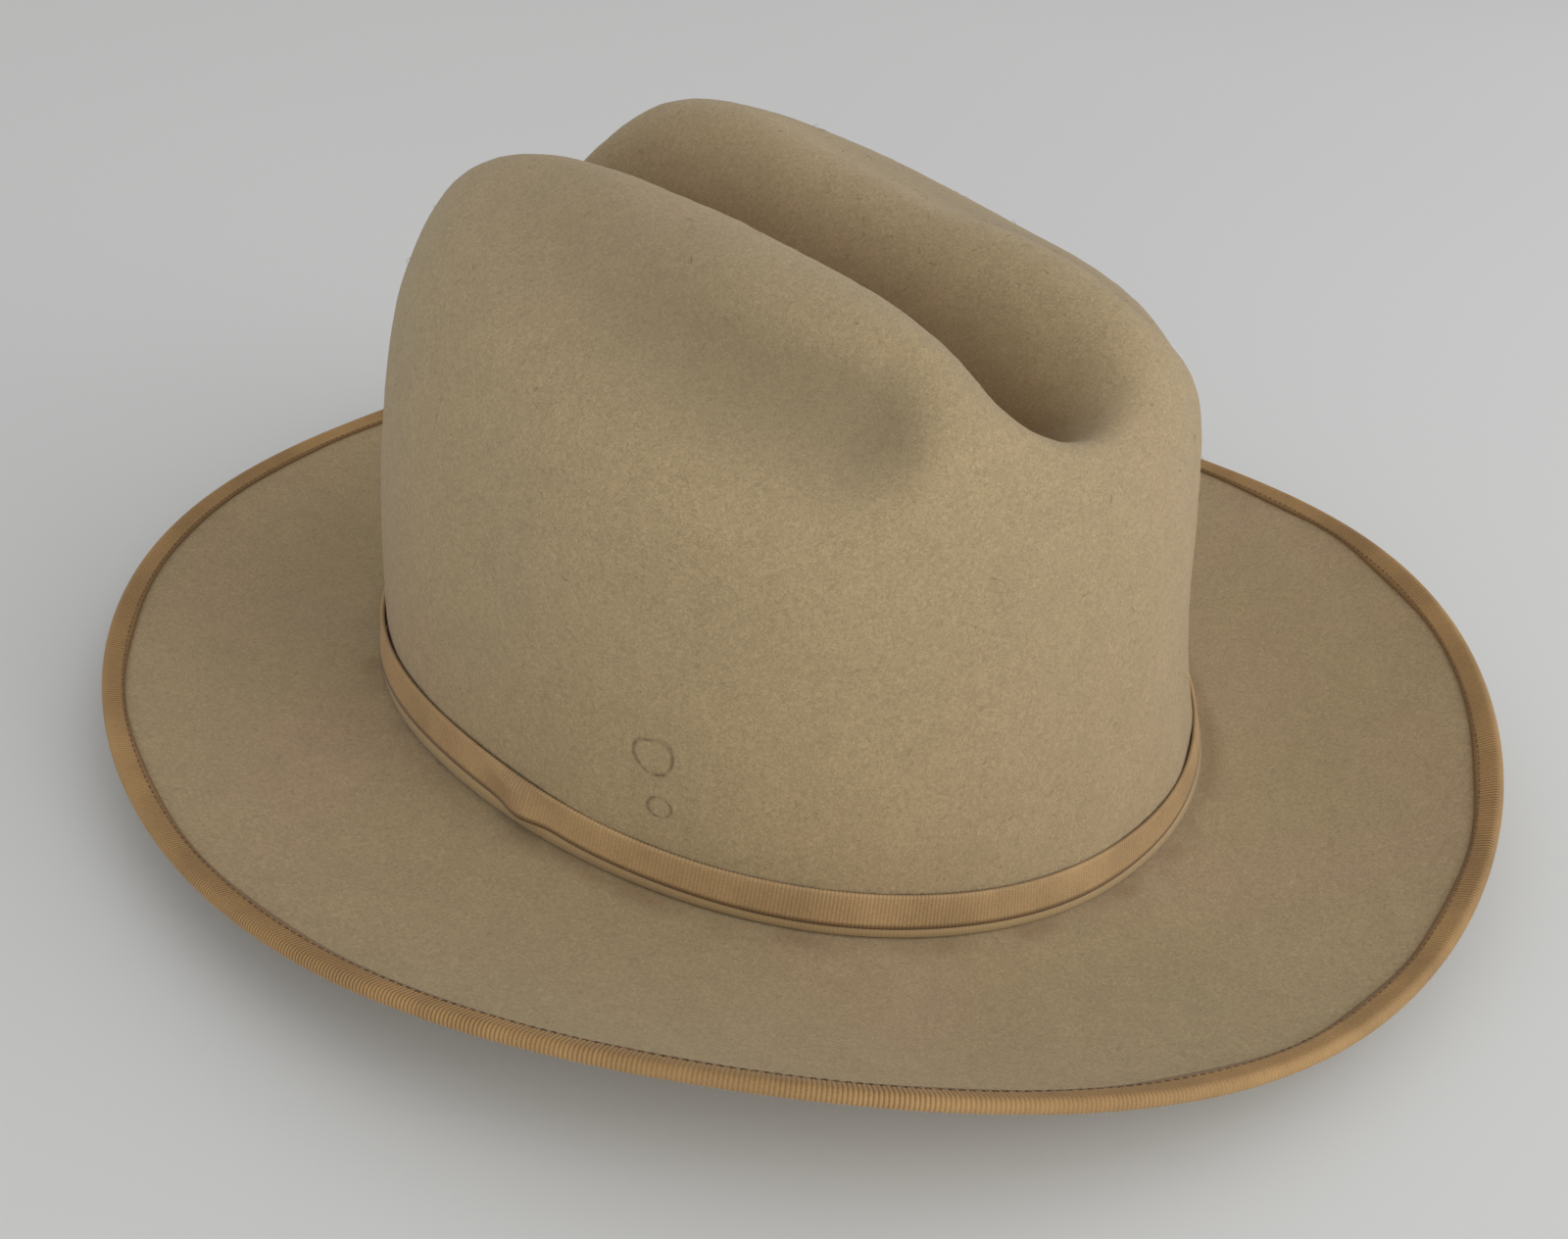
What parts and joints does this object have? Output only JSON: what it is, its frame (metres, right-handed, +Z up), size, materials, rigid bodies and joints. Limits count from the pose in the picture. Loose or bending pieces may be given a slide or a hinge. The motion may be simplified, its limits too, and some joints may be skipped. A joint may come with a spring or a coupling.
{
  "type": "cowboy hat",
  "caption": "Tan felt cowboy hat with a creased, side-dented crown, narrow ribbon band with a side bow, ribbon-bound curled brim, leather sweatband and satin lining.",
  "frame": {"origin": "middle of the hat's footprint, on the surface it stands on, brim down", "axes": "+Z up through the crown; the front of the hat faces -Y, so +Y points to its back; +X is the wearer's left, the bow side"},
  "size_m": [0.3096, 0.3206, 0.1241],
  "materials": {
    "felt": "fine brushed fur felt, tan, with soft stains",
    "ribbon": "ribbed grosgrain ribbon, slight sheen",
    "binding": "ribbed grosgrain ribbon, slight sheen, worn at the fold",
    "thread": "fine sewing thread",
    "sweatband_leather": "smooth, slightly polished by wear",
    "reed_plastic": "plain extruded reed",
    "tape_cloth": "woven cotton tape",
    "satin": "satin weave, soft shine",
    "paper": "blank uncoated paper",
    "clear_sheet": "thin clear plastic sheet"
  },
  "bodies": {
    "root": {"felt_body": "felt", "brim_binding": "binding", "binding_stitching": "thread", "crown_ribbon": "ribbon", "bow_tails": "ribbon", "bow_loop_front": "ribbon", "bow_loop_back": "ribbon", "bow_keeper": "ribbon", "sweatband": "sweatband_leather", "sweatband_reed": "reed_plastic", "reed_tape": "tape_cloth", "sweatband_stitching": "thread", "sweatband_seam_tape": "sweatband_leather", "sweatband_bow": "ribbon", "size_tag": "paper", "lining_wall": "satin", "lining_tip": "satin", "lining_gimp": "satin", "lining_tip_shield": "clear_sheet"}
  },
  "joints": []
}
